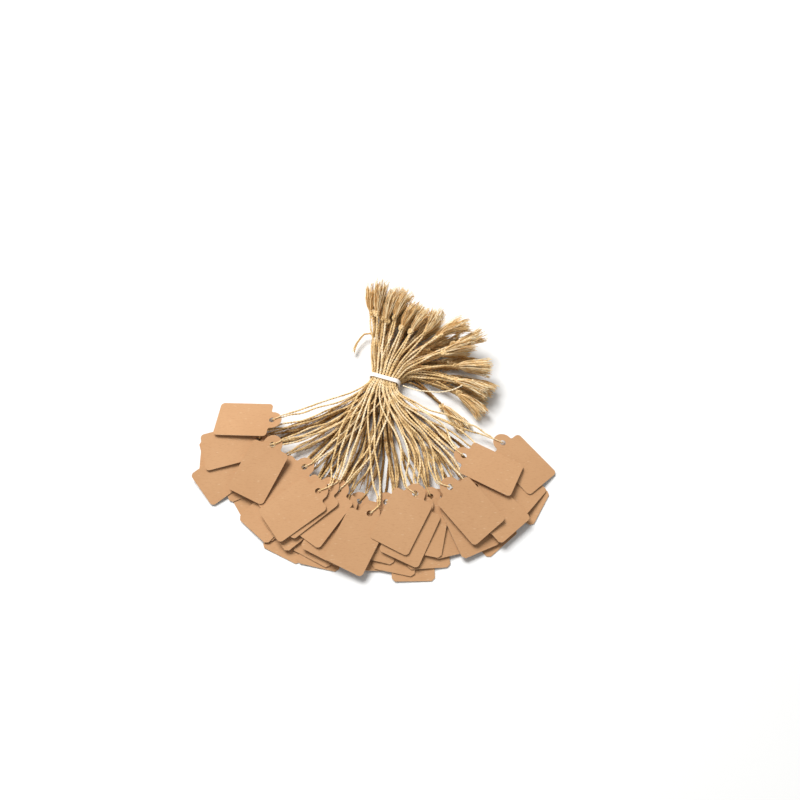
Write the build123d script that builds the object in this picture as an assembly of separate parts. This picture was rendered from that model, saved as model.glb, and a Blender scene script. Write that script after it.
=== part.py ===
from build123d import *
import math
import os

import numpy as np

# A tied bundle of kraft paper gift tags. Each tag hangs on its own twine, folded double through
# the tag's punched hole and knotted at its two ends. A white band gathers all the twines. The tags
# fan out over the table in front of the band, and the knotted ends stand out behind it.
# Origin: the middle of the band's underside, on the table. +Z is up and the tags lie towards -Y.
# Lengths are in millimetres and angles in degrees.

# Card tag
CARD_WIDTH = 30.0
CARD_BODY = 41.0
CARD_THICKNESS = 0.4
CARD_CORNER = 3.0
TAB_RADIUS = 7.3
TAB_RISE = 1.7
NOTCH_RADIUS = 1.6
HOLE_DIAMETER = 4.4
SWING = 8.0
UNDER_CORNER_SHARE = 0.75
TAB_FACETS = 12
HOLE_FACETS = 8

# Twine: the two legs side by side, and each leg by itself at the hole
TWINE = 1.7
LEG = 0.9
LEG_GAP = 0.35
SPLIT_GAP = 2.4
LEG_ROOT = 0.8
ROOT_RUN = 6.0
LEG_SPREAD = 0.55
HOLE_OFFSET = 1.0
FOLD_CHAMFER = 0.5
TWINE_REACH = 110.0
TAIL_REACH = 44.0

# Knot and frayed end behind the band
KNOT_SIDE = 4.0
KNOT_LENGTH = 5.0
NECK_SIDE = 2.4
FRAY_SIDE = 5.6
FRAY_LENGTH = 26.0
KNOT_SINK = 1.0
KNOT_SEAT_SHARE = 1.06

# White band round the twines
BAND_WIDTH = 3.2
BAND_WALL = 0.8
BAND_CORNER = 2.6
BAND_YAW = -18.0
BAND_RUN = 7.0
ROWS = 5
COLUMNS = 8
ROW_PITCH = 2.1
OUTER_PITCH = 2.5
INNER_PITCH = 2.9
PLAY = 0.3

# Pile: the step that heights are sampled at, and the room left round each piece
SAMPLE = 0.5
CLEAR = 0.35
SPREAD_DEPTH = 20.0
NEAR_BAND = 30.0
CORNER_SHARE = 0.45
LIFT_ROUNDS = 60
SWING_STEPS = 5
WIDTH_STEPS = 5
ARC_STEPS = 5
FALL_SHARES = np.linspace(-0.04, 0.22, 27)
ROLL_SHARES = np.linspace(-0.16, 0.16, 33)

# Tags hidden in the pile, lowest first: azimuth from -Y towards +X, reach as a share of the longest
# twine, and twist of the tag away from its twine
LOW_TAGS = (
    (-59, 1.01, -29),
    (-40, 0.98, -18),
    (-28, 1.04, 1),
    (-19, 1.02, 6),
    (-4, 0.98, 4),
    (10, 1.06, -9),
    (30, 1.04, 11),
    (43, 1.03, 17),
)
MID_TAGS = (
    (-62, 0.98, -9),
    (-33, 0.98, -15),
    (-17, 0.99, -11),
    (-10, 0.93, -14),
    (8, 1.01, -20),
    (15, 1.00, -10),
    (22, 0.96, -7),
    (34, 0.97, 16),
)
HIGH_TAGS = (
    (-49, 0.95, -17),
    (-36, 1.01, -6),
    (-24, 0.99, -27),
    (-14, 0.97, -13),
    (1, 0.93, -14),
    (19, 0.94, -30),
    (28, 1.01, -4),
    (40, 0.95, 8),
)

# Tags on top of the pile, lowest first: name, azimuth, reach share, twist, sideways bow of the twine
TOP_TAGS = (
    ("tag_04", -57, 1.08, 4, 1),
    ("tag_02", -61, 0.97, -15, -2),
    ("tag_01", -66, 0.84, -29, -3),
    ("tag_05", -38, 0.86, -13, 3),
    ("tag_03", -54, 0.92, 27, 2),
    ("tag_15", 47, 0.97, 2, 1),
    ("tag_16", 36, 1.02, 5, -3),
    ("tag_08", -19, 0.90, -17, 3),
    ("tag_07", -23, 0.91, -29, -2),
    ("tag_06", -26, 0.97, -29, -4),
    ("tag_14", 59, 0.94, -18, 4),
    ("tag_13", 41, 0.81, 23, 1),
    ("tag_11", 15, 0.99, -40, 4),
    ("tag_09", -5, 1.02, -21, -4),
    ("tag_10", 13, 0.91, -40, 3),
    ("tag_12", 27, 0.95, 14, 3),
)

# Route of a twine: how far out each point lies and how far it has turned by then, as shares
FAN_REACH_SHARES = (0.11, 0.30, 0.65)
FAN_TURN_SHARES = (0.10, 0.48, 0.90)
TAIL_POINT_SHARES = (0.42, 1.0)
TAIL_TURN_SHARES = (0.20, 1.0)
TAIL_SPANS = ((4, 98), (-2, 92), (2, 80), (-4, 66), (0, 54))
TAIL_AZIMUTH_SHARES = (0.0, 0.11, 0.22, 0.34, 0.48, 0.64, 0.82, 1.0)
TAIL_RISES = (2.0, 5.5, 9.0, 12.5, 16.0)
TAIL_LENGTH_SHARES = (1.04, 0.92, 1.0, 0.86, 0.84, 0.92, 1.04, 0.86)
TAIL_ROW_SHARES = (0.80, 1.02, 0.94, 1.04, 0.96)
SAG_SHARE = 0.02
UNDER_GROUP = 2

LEG_HEIGHT = CARD_THICKNESS / 2 + LEG_GAP + LEG / 2
SPLIT_REACH = TAB_RADIUS + SPLIT_GAP
ROW_HEIGHTS = [BAND_WALL + PLAY + TWINE / 2 + row * ROW_PITCH for row in range(ROWS)]
ROW_PITCHES = [OUTER_PITCH if row in (0, ROWS - 1) else INNER_PITCH for row in range(ROWS)]
BAND_AXIS = np.array([math.cos(math.radians(BAND_YAW)), math.sin(math.radians(BAND_YAW))])
FRONT = np.array([BAND_AXIS[1], -BAND_AXIS[0]])


def heading(azimuth):
    angle = math.radians(azimuth)
    return np.array([math.sin(angle), -math.cos(angle)])


# Height of the pile so far, on a square grid that covers the whole fan
REACH = TWINE_REACH + CARD_BODY + CARD_WIDTH
GRID_X = np.arange(-REACH, REACH, SAMPLE)
GRID_Y = np.arange(-REACH, REACH, SAMPLE)
PILE = np.full((len(GRID_Y), len(GRID_X)), -CLEAR / 2)


def window(centre, radius):
    """Slices of the grid round a place, with the cells' offsets from it."""
    column = np.searchsorted(GRID_X, [centre[0] - radius, centre[0] + radius])
    row = np.searchsorted(GRID_Y, [centre[1] - radius, centre[1] + radius])
    part = np.s_[row[0]:row[1], column[0]:column[1]]
    across, along = np.meshgrid(GRID_X[part[1]] - centre[0], GRID_Y[part[0]] - centre[1])
    return part, across, along


def card_cells(u, v, swing):
    """Cells under a card whose hole is at zero and whose body runs along u."""
    inside = np.hypot(u, v) <= TAB_RADIUS + SAMPLE
    for angle in np.radians(np.linspace(-swing, swing, SWING_STEPS if swing else 1)):
        along = u * math.cos(angle) + v * math.sin(angle)
        side = np.abs(v * math.cos(angle) - u * math.sin(angle))
        body = (along >= TAB_RISE - SAMPLE) & (along <= TAB_RISE + CARD_BODY + SAMPLE)
        inside |= body & (side <= CARD_WIDTH / 2 + SAMPLE)
    return inside


def settle(tag):
    """Lay a card on the pile: the plane that clears what lies below with its middle lowest."""
    part, across, along = window(tag["hole"], CARD_BODY + CARD_WIDTH / 2)
    pointing = heading(tag["azimuth"] + tag["twist"])
    back = -tag["approach"]
    u = across * pointing[0] + along * pointing[1]
    v = along * pointing[0] - across * pointing[1]
    p = across * back[0] + along * back[1]
    q = np.abs(along * back[0] - across * back[1])
    card = card_cells(u, v, SWING if tag["hinged"] else 0)
    leg = (q <= LEG / 2 + SAMPLE) & (p >= 0) & (p <= SPLIT_REACH)
    root = (q <= TWINE / 2 + SAMPLE) & (p >= TAB_RADIUS) & (p <= SPLIT_REACH + ROOT_RUN)
    room = np.zeros_like(u)
    room[card] = CARD_THICKNESS / 2
    room[root] = TWINE / 2
    room[leg] = LEG_HEIGHT + LEG / 2
    used = card | leg | root
    need = PILE[part][used] + CLEAR + room[used]
    fall, roll = np.meshgrid(FALL_SHARES, ROLL_SHARES)
    fall, roll = fall.ravel()[:, None], roll.ravel()[:, None]
    lift = (need + fall * u[used] - roll * v[used]).max(axis=1)
    middle = lift - (fall * u[card].mean() - roll * v[card].mean())[:, 0]
    best = middle.argmin()
    tag["height"] = lift[best]
    slope = pointing * -fall[best, 0] + np.array([-pointing[1], pointing[0]]) * roll[best, 0]
    tag["slope"] = slope
    tag["pointing"] = pointing
    top = tag["height"] + slope[0] * across + slope[1] * along + room
    return part, used, top


def rounded(points):
    """Close points along a route whose corners are rounded as the twine's are."""
    out = [points[0]]
    for before, corner, after in zip(points, points[1:], points[2:]):
        reach = CORNER_SHARE * min(np.linalg.norm(before - corner), np.linalg.norm(after - corner))
        start = corner + (before - corner) * reach / np.linalg.norm(before - corner)
        end = corner + (after - corner) * reach / np.linalg.norm(after - corner)
        for t in np.linspace(0, 1, ARC_STEPS):
            out.append((1 - t) ** 2 * start + 2 * t * (1 - t) * corner + t ** 2 * end)
    out.append(points[-1])
    close = [out[0]]
    for a, b in zip(out, out[1:]):
        count = max(1, math.ceil(np.linalg.norm(b - a) / SAMPLE))
        close.extend(a + (b - a) * (i + 1) / count for i in range(count))
    return np.array(close)


def heights_under(samples, field):
    """Highest place of a height field across the width of a twine, at each sample."""
    run = np.gradient(samples[:, :2], axis=0)
    side = np.stack([-run[:, 1], run[:, 0]], 1) / np.linalg.norm(run, axis=1)[:, None]
    highest = np.full(len(samples), -np.inf)
    for shift in np.linspace(-TWINE / 2, TWINE / 2, WIDTH_STEPS):
        place = samples[:, :2] + side * shift
        column = np.rint((place[:, 0] - GRID_X[0]) / SAMPLE).astype(int)
        row = np.rint((place[:, 1] - GRID_Y[0]) / SAMPLE).astype(int)
        highest = np.maximum(highest, field[row, column])
    return highest


def fan_route(tag, below):
    """The twine's points from the band to where its legs part, lifted over the pile."""
    offset = (tag["column"] - (COLUMNS - 1) / 2) * ROW_PITCHES[tag["row"]]
    exit_place = BAND_AXIS * offset + FRONT * BAND_RUN / 2
    centre = -FRONT * SPREAD_DEPTH
    split = tag["hole"] - tag["approach"] * SPLIT_REACH
    polar = []
    for place in (exit_place, split):
        arm = place - centre
        polar.append((np.linalg.norm(arm), math.atan2(arm @ BAND_AXIS, arm @ FRONT)))
    (near, start), (far, finish) = polar
    places = [exit_place]
    for reach, turn in zip(FAN_REACH_SHARES, FAN_TURN_SHARES):
        bow = math.radians(tag["bow"]) * math.sin(math.pi * reach)
        angle = start + (finish - start) * turn + bow
        distance = near + (far - near) * reach
        places.append(centre + (FRONT * math.cos(angle) + BAND_AXIS * math.sin(angle)) * distance)
    places.append(split)
    first = ROW_HEIGHTS[tag["row"]]
    last = tag["height"] - tag["slope"] @ tag["approach"] * SPLIT_REACH
    shares = (0,) + FAN_REACH_SHARES + (1,)
    sag = SAG_SHARE * np.linalg.norm(split - exit_place)
    points = [
        np.array([*place, first + (last - first) * share - sag * math.sin(math.pi * share)])
        for place, share in zip(places, shares)
    ]
    for _ in range(LIFT_ROUNDS):
        samples = rounded(points)
        close = np.linalg.norm(samples[:, :2], axis=1) < NEAR_BAND
        floor = np.where(close, heights_under(samples, below), heights_under(samples, PILE))
        short = floor + CLEAR + TWINE / 2 - samples[:, 2]
        if short.max() < CLEAR / 10:
            break
        travel = np.linalg.norm(samples[:, :2] - exit_place, axis=1)
        stations = [np.linalg.norm(place - exit_place) for place in places]
        for i in range(1, len(points) - 1):
            weight = np.interp(travel, stations[i - 1:i + 2], (0, 1, 0), left=0, right=0)
            points[i][2] += max(0, (short * weight).max())
    for spot in rounded(points):
        part, across, along = window(spot[:2], TWINE)
        covered = np.hypot(across, along) <= TWINE / 2 + SAMPLE / 2
        PILE[part][covered] = np.maximum(PILE[part], spot[2] + TWINE / 2)[covered]
    return points


def tail_route(tag):
    """The twine's points behind the band, from the band to the knot."""
    offset = (tag["column"] - (COLUMNS - 1) / 2) * ROW_PITCHES[tag["row"]]
    exit_place = BAND_AXIS * offset - FRONT * BAND_RUN / 2
    centre = FRONT * SPREAD_DEPTH
    arm = exit_place - centre
    near = np.linalg.norm(arm)
    start = math.atan2(arm @ BAND_AXIS, -arm @ FRONT)
    azimuth = np.interp(TAIL_AZIMUTH_SHARES[tag["column"]], (0, 1), TAIL_SPANS[tag["row"]])
    finish = math.radians(azimuth + BAND_YAW)
    length = TAIL_REACH * TAIL_LENGTH_SHARES[tag["column"]] * TAIL_ROW_SHARES[tag["row"]]
    rise = math.tan(math.radians(TAIL_RISES[tag["row"]]))
    points = [np.array([*exit_place, ROW_HEIGHTS[tag["row"]]])]
    for reach, turn in zip(TAIL_POINT_SHARES, TAIL_TURN_SHARES):
        angle = start + (finish - start) * turn
        out = length * reach
        place = centre + (BAND_AXIS * math.sin(angle) - FRONT * math.cos(angle)) * (near + out)
        points.append(np.array([*place, ROW_HEIGHTS[tag["row"]] + rise * out]))
    return points


def corner_radii(points):
    """As large a radius at each corner as its two runs allow."""
    radii = []
    for before, corner, after in zip(points, points[1:], points[2:]):
        arrive, leave = Vector(*(corner - before)), Vector(*(after - corner))
        half_turn = math.radians(arrive.get_angle(leave)) / 2
        radii.append(CORNER_SHARE * min(arrive.length, leave.length) / math.tan(half_turn))
    return radii


def cord(points, side):
    """A square-sided cord along straight runs joined by tangent arcs."""
    radii = corner_radii(points)
    path = FilletPolyline(*[Vector(*point) for point in points], radius=radii)
    run = Vector(*(points[1] - points[0]))
    flat = Vector(0, 0, 1).cross(run)
    section = Plane(origin=Vector(*points[0]), x_dir=flat, z_dir=run) * Rectangle(side, side)
    return sweep(section, path=path), path.length, min(radii)


def frayed_end(points):
    """Overhand knot and frayed tuft, swelling and flaring from the end of the twine."""
    run = Vector(*(points[-1] - points[-2])).normalized()
    flat = Vector(0, 0, 1).cross(run)
    end = Vector(*points[-1])
    stations = (
        (-KNOT_SINK, TWINE * KNOT_SEAT_SHARE),
        (KNOT_LENGTH / 2, KNOT_SIDE),
        (KNOT_LENGTH, NECK_SIDE),
        (KNOT_LENGTH + FRAY_LENGTH, FRAY_SIDE),
    )
    sections = [
        Plane(origin=end + run * along, x_dir=flat, z_dir=run) * Rectangle(side, side)
        for along, side in stations
    ]
    return loft(sections, ruled=True)


def hole_loop(tag, frame):
    """One leg over the tab and down through the hole, and back under the tab as the other leg."""
    back = Vector(*-tag["approach"], 0)
    out = (back - frame.z_dir * back.dot(frame.z_dir)).normalized()
    outer = SPLIT_REACH + LEG_ROOT
    edge = TAB_RADIUS + LEG
    inner = HOLE_OFFSET + FOLD_CHAMFER
    low = LEG_HEIGHT - FOLD_CHAMFER
    half = [(outer, LEG_SPREAD), (edge, LEG_HEIGHT), (inner, LEG_HEIGHT), (HOLE_OFFSET, low)]
    route = half + [(along, -height) for along, height in reversed(half)]
    points = [frame.origin + out * along + frame.z_dir * height for along, height in route]
    path = Polyline(*points)
    side = frame.z_dir.cross(out)
    section = Plane(origin=points[0], x_dir=side, z_dir=points[1] - points[0]) * Rectangle(LEG, LEG)
    return sweep(section, path=path, transition=Transition.RIGHT)


def top_card():
    """Card tag with its hole at zero and its body along +X: rounded body, round tab, small notches."""
    body = Pos(TAB_RISE + CARD_BODY / 2, 0) * RectangleRounded(CARD_BODY, CARD_WIDTH, CARD_CORNER)
    outline = body + Circle(TAB_RADIUS)
    notches = outline.vertices().filter_by(
        lambda vertex: abs(math.hypot(vertex.X, vertex.Y) - TAB_RADIUS) < CARD_THICKNESS
    )
    outline = fillet(notches, NOTCH_RADIUS) - Circle(HOLE_DIAMETER / 2)
    return extrude(outline, CARD_THICKNESS / 2, both=True)


def under_card():
    """The same card with short straight facets for its round stretches, as it lies in the pile."""
    body = Pos(TAB_RISE + CARD_BODY / 2, 0) * Rectangle(CARD_BODY, CARD_WIDTH)
    body = chamfer(body.vertices(), CARD_CORNER * UNDER_CORNER_SHARE)
    outline = body + RegularPolygon(TAB_RADIUS, TAB_FACETS) - RegularPolygon(HOLE_DIAMETER / 2, HOLE_FACETS)
    return extrude(outline, CARD_THICKNESS / 2, both=True)


def tie_band():
    """White band: a flattened ring that just holds the rows of twine, flat on the table."""
    inner_width = (COLUMNS - 1) * INNER_PITCH + TWINE + 2 * PLAY
    inner_height = (ROWS - 1) * ROW_PITCH + TWINE + 2 * PLAY
    outer = RectangleRounded(inner_width + 2 * BAND_WALL, inner_height + 2 * BAND_WALL, BAND_CORNER + BAND_WALL)
    ring = outer - RectangleRounded(inner_width, inner_height, BAND_CORNER)
    middle = Vector(0, 0, inner_height / 2 + BAND_WALL)
    frame = Plane(origin=middle, x_dir=Vector(*BAND_AXIS, 0), z_dir=Vector(*FRONT, 0))
    return frame * extrude(ring, BAND_WIDTH / 2, both=True)


def tag_list():
    """Every tag from the lowest to the highest, with its row and column in the band."""
    tags = []
    for number, (azimuth, reach, twist) in enumerate(LOW_TAGS + MID_TAGS + HIGH_TAGS, len(TOP_TAGS) + 1):
        name = f"tag_{number:02d}"
        tags.append({"name": name, "azimuth": azimuth, "reach": reach, "twist": twist, "bow": 0, "hinged": False})
    for name, azimuth, reach, twist, bow in TOP_TAGS:
        tags.append({"name": name, "azimuth": azimuth, "reach": reach, "twist": twist, "bow": bow, "hinged": True})
    for row in range(ROWS):
        members = sorted(tags[row * COLUMNS:(row + 1) * COLUMNS], key=lambda tag: tag["azimuth"])
        for column, tag in enumerate(members):
            tag["row"] = row
            tag["column"] = column
    for tag in tags:
        tag["hole"] = heading(tag["azimuth"]) * TWINE_REACH * tag["reach"]
        arm = tag["hole"] + FRONT * SPREAD_DEPTH
        tag["approach"] = arm / np.linalg.norm(arm)
    return tags


def pile_up(tags):
    """Settle the cards and lead their twines over the pile, row after row."""
    below = PILE.copy()
    for index, tag in enumerate(tags):
        if index % COLUMNS == 0:
            below = PILE.copy()
        part, used, top = settle(tag)
        tag["route"] = tail_route(tag)[::-1] + fan_route(tag, below)
        PILE[part][used] = np.maximum(PILE[part], top)[used]


def card_frame(tag):
    normal = Vector(-tag["slope"][0], -tag["slope"][1], 1).normalized()
    along = Vector(*tag["pointing"], tag["slope"] @ tag["pointing"])
    return Plane(origin=Vector(*tag["hole"], tag["height"]), x_dir=along, z_dir=normal)


TAGS = tag_list()
pile_up(TAGS)


def export_groups(name, entries):
    """Pieces of the lower layers, a few to a node, in the order given."""
    for start in range(0, len(entries), UNDER_GROUP):
        group = Compound(children=[entry[-1] for entry in entries[start:start + UNDER_GROUP]])
        export_step(group, f"parts/{name}_{start // UNDER_GROUP + 1:02d}.step")


def build():
    os.makedirs("parts", exist_ok=True)
    export_step(tie_band(), "parts/tie_band.step")
    whole, plain = top_card(), under_card()
    tightest = []
    under_cards = []
    under_twines = []
    for tag in TAGS:
        frame = card_frame(tag)
        card = frame * (whole if tag["hinged"] else plain)
        strand, length, radius = cord(tag["route"], TWINE)
        tightest.append(radius)
        ratio = strand.volume / (TWINE * TWINE * length)
        twine = strand + frayed_end(tag["route"][:2][::-1]) + hole_loop(tag, frame)
        print(f"{tag['name']} hole z {tag['height']:.2f} slope {np.round(tag['slope'], 3)}"
              f" radius {radius:.1f} volume ratio {ratio:.3f} solids {len(twine.solids())}")
        if tag["hinged"]:
            export_step(card, f"parts/{tag['name']}.step")
            export_step(twine.solid(), f"parts/{tag['name'].replace('tag', 'twine')}.step")
        else:
            under_cards.append((tag["azimuth"], card))
            under_twines.append((tag["row"], tag["column"] % (COLUMNS // UNDER_GROUP), twine.solid()))
    export_groups("under_tags", sorted(under_cards, key=lambda entry: entry[0]))
    export_groups("under_twines", sorted(under_twines, key=lambda entry: entry[:2]))
    print(f"least twine radius {min(tightest):.1f}")


build()
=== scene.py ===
import bpy
import math
import random
from mathutils import Matrix, Vector, kdtree


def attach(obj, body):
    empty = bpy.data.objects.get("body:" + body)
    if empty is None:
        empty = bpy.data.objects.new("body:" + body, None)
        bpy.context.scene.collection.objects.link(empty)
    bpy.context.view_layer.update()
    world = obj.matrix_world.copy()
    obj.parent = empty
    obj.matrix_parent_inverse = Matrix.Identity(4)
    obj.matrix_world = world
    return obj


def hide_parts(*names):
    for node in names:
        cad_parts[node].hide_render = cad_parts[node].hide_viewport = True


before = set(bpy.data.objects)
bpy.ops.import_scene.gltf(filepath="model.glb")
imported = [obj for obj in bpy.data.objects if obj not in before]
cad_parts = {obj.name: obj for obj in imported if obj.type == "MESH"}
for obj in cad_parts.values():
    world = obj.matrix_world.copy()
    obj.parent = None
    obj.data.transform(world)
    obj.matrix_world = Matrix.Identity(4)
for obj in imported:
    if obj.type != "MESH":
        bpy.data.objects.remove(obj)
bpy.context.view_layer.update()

scene = bpy.context.scene
scene.view_settings.view_transform = "Standard"

# camera: looks down on the fan from the tags' side, at the photo's framing
view = {
    "target": (0.0117, -0.0133, 0.0), "distance": 0.65, "elevation": 61.0,
    "lens": 37.6, "sensor": 36.0, "nearest": 0.01,
}

cameraData = bpy.data.cameras.new("photoCamera")
cameraData.lens = view["lens"]
cameraData.sensor_width = view["sensor"]
cameraData.clip_start = view["nearest"]
camera = bpy.data.objects.new("photoCamera", cameraData)
scene.collection.objects.link(camera)
tilt = math.radians(view["elevation"])
camera.location = Vector(view["target"]) + Vector((0, -math.cos(tilt), math.sin(tilt))) * view["distance"]
camera.rotation_euler = (math.radians(90) - tilt, 0, 0)
scene.camera = camera
print("camera placed")


def linear(colour):
    # sRGB hex to the linear values that shaders take
    parts = [int(colour[i:i + 2], 16) / 255 for i in (1, 3, 5)]
    return [p / 12.92 if p <= 0.04045 else ((p + 0.055) / 1.055) ** 2.4 for p in parts] + [1.0]


def addNode(tree, kind, settings=None, inputs=None):
    # one node with its settings; an input is a value or the socket that feeds it
    node = tree.nodes.new(kind)
    for name, value in (settings or {}).items():
        setattr(node, name, value)
    for name, value in (inputs or {}).items():
        if isinstance(value, bpy.types.NodeSocket):
            tree.links.new(value, node.inputs[name])
        else:
            node.inputs[name].default_value = value
    return node


def worked(tree, operation, *terms):
    # one step of arithmetic on numbers, each a value or a socket
    return addNode(tree, "ShaderNodeMath", {"operation": operation}, dict(enumerate(terms))).outputs["Value"]


def workedVector(tree, operation, *terms):
    # one step of arithmetic on vectors, each a value or a socket
    node = addNode(tree, "ShaderNodeVectorMath", {"operation": operation}, dict(enumerate(terms)))
    return node.outputs["Vector"]


def scaled(tree, vector, factor):
    node = addNode(tree, "ShaderNodeVectorMath", {"operation": "SCALE"}, {0: vector, "Scale": factor})
    return node.outputs["Vector"]


def ranged(tree, value, start, finish, interpolation="LINEAR"):
    # a value taken from one range to another
    node = addNode(tree, "ShaderNodeMapRange", {"interpolation_type": interpolation}, {
        "Value": value, "From Min": start[0], "From Max": start[1], "To Min": finish[0], "To Max": finish[1],
    })
    return node.outputs["Result"]


def noise(tree, place, size, detail, roughness=0.5):
    # soft patches of a size
    node = addNode(tree, "ShaderNodeTexNoise", None, {
        "Vector": place, "Scale": 1 / size, "Detail": detail, "Roughness": roughness,
    })
    return node.outputs["Fac"]


def blend(tree, factor, first, second):
    # two colours mixed, each a value or a socket
    node = addNode(tree, "ShaderNodeMix", {"data_type": "RGBA"}, {"Factor": factor, 6: first, 7: second})
    return node.outputs[2]


def ramped(tree, factor, low, middle, high):
    # three colours along a ramp, each with its position
    ramp = addNode(tree, "ShaderNodeValToRGB", None, {"Fac": factor})
    elements = ramp.color_ramp.elements
    for element, (position, colour) in zip(elements, (low, high)):
        element.position = position
        element.color = linear(colour)
    elements.new(middle[0]).color = linear(middle[1])
    return ramp.outputs["Color"]


def newMaterial(name, look):
    # material with its tree and its Principled shader, ready for a pattern
    material = bpy.data.materials.new(name)
    material.use_nodes = True
    shader = material.node_tree.nodes["Principled BSDF"]
    shader.inputs["Roughness"].default_value = look["roughness"]
    shader.inputs["Specular IOR Level"].default_value = look["specular"]
    return material, material.node_tree, shader


def roughen(tree, shader, height, look):
    # fine relief from a pattern
    bump = addNode(tree, "ShaderNodeBump", None, {
        "Height": height, "Strength": look["bumpShare"], "Distance": look["bump"],
    })
    tree.links.new(bump.outputs["Normal"], shader.inputs["Normal"])


def addPiece(name, mesh, body):
    # plain mesh object at the origin that rides on a body
    piece = bpy.data.objects.new(name, mesh)
    scene.collection.objects.link(piece)
    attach(piece, body)
    return piece


# kraft board, calendered and die-cut: matt brown with long pulp fibres and pale flecks, with a painted highlight as
# a pale line along the cut edge
kraft = {
    "face": ("#B78A61", "#C49970"), "fibre": "#A2754D", "edge": "#DFC4A2", "roughness": 0.82, "specular": 0.28,
    "cloud": 0.030, "fibreWidth": 0.0007, "fibreRoughness": 0.65, "fibreSeen": (0.52, 0.78), "fibreMost": 0.55,
    "drawnOut": (0.25, 1.0, 1.0), "fleck": 0.0022, "fleckSeen": (0.05, 0.16), "fleckMost": 0.35,
    "uprightBelow": 0.6, "bump": 0.00004, "bumpShare": 0.5,
}


def kraftCard():
    material, tree, shader = newMaterial("kraftBoardDieCut", kraft)
    place = addNode(tree, "ShaderNodeTexCoord").outputs["Object"]
    # one pale colour for the board's flecks and for the painted highlight on the cut edge
    paleFleckAndEdgeHighlight = linear(kraft["edge"])
    cloud = noise(tree, place, kraft["cloud"], 3.0)
    tone = blend(tree, cloud, linear(kraft["face"][0]), linear(kraft["face"][1]))
    # pulp fibres lie mostly one way, so the noise is drawn out along X
    mapping = addNode(tree, "ShaderNodeMapping", None, {"Vector": place, "Scale": kraft["drawnOut"]})
    drawn = mapping.outputs["Vector"]
    fibre = noise(tree, drawn, kraft["fibreWidth"], 4.0, kraft["fibreRoughness"])
    thin = ranged(tree, fibre, kraft["fibreSeen"], (0.0, kraft["fibreMost"]))
    pulp = blend(tree, thin, tone, linear(kraft["fibre"]))
    fleck = addNode(tree, "ShaderNodeTexVoronoi", None, {"Vector": drawn, "Scale": 1 / kraft["fleck"]})
    speck = ranged(tree, fleck.outputs["Distance"], kraft["fleckSeen"], (kraft["fleckMost"], 0.0))
    board = blend(tree, speck, pulp, paleFleckAndEdgeHighlight)
    # the cut edge stands upright, whatever way a card lies, and gets the pale colour there as a painted highlight
    facing = addNode(tree, "ShaderNodeNewGeometry").outputs["True Normal"]
    upward = addNode(tree, "ShaderNodeSeparateXYZ", None, {"Vector": facing}).outputs["Z"]
    upright = worked(tree, "LESS_THAN", worked(tree, "ABSOLUTE", upward), kraft["uprightBelow"])
    tree.links.new(blend(tree, upright, board, paleFleckAndEdgeHighlight), shader.inputs["Base Color"])
    roughen(tree, shader, fibre, kraft)
    return material


# jute, spun and twisted in two plies: straw with darker and paler lengths, dull and hairy
jute = {
    "dark": (0.25, "#8A6435"), "straw": (0.62, "#E6C58D"), "pale": (1.0, "#FAE8C6"),
    "roughness": 0.85, "specular": 0.15, "sheen": 0.08, "patch": 0.006, "patchShare": 0.9,
    "fibre": 0.0004, "bump": 0.0001, "bumpShare": 0.6,
}
# combed-out jute at the knotted ends: loose fibres, browner inside and golden at the cut tips
fray = {
    "dark": (0.15, "#B58143"), "straw": (0.55, "#F6D092"), "pale": (1.0, "#FEF0CC"),
    "roughness": 0.8, "specular": 0.15, "sheen": 0.06, "patch": 0.004, "patchShare": 0.5,
}


def juteFibre(name, look):
    # colour in patches, shifted by the tint that each strand or fibre carries; on the twines the tint also holds
    # painted shade on the lower rows and painted light on the top ones
    material, tree, shader = newMaterial(name, look)
    shader.inputs["Sheen Weight"].default_value = look["sheen"]
    place = addNode(tree, "ShaderNodeTexCoord").outputs["Object"]
    tint = addNode(tree, "ShaderNodeAttribute", {"attribute_name": "tint"}).outputs["Fac"]
    patch = noise(tree, place, look["patch"], 2.0)
    mixed = worked(tree, "MULTIPLY_ADD", patch, look["patchShare"], tint)
    tree.links.new(ramped(tree, mixed, look["dark"], look["straw"], look["pale"]), shader.inputs["Base Color"])
    if "bump" in look:
        roughen(tree, shader, noise(tree, place, look["fibre"], 2.0), look)
    return material


# white rubber band, moulded and stretched: smooth and slightly waxy
band = {"white": "#F4EFEA", "worn": "#E4DCD4", "patch": 0.003, "roughness": 0.5, "specular": 0.4}


def whiteRubber():
    material, tree, shader = newMaterial("rubberBandWhite", band)
    place = addNode(tree, "ShaderNodeTexCoord").outputs["Object"]
    patch = noise(tree, place, band["patch"], 3.0)
    tone = blend(tree, patch, linear(band["worn"]), linear(band["white"]))
    tree.links.new(tone, shader.inputs["Base Color"])
    return material


cardMaterial = kraftCard()
twineMaterial = juteFibre("juteTwineSpun", jute)
frayMaterial = juteFibre("juteFibreLoose", fray)
bandMaterial = whiteRubber()
print("materials made")

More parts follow.
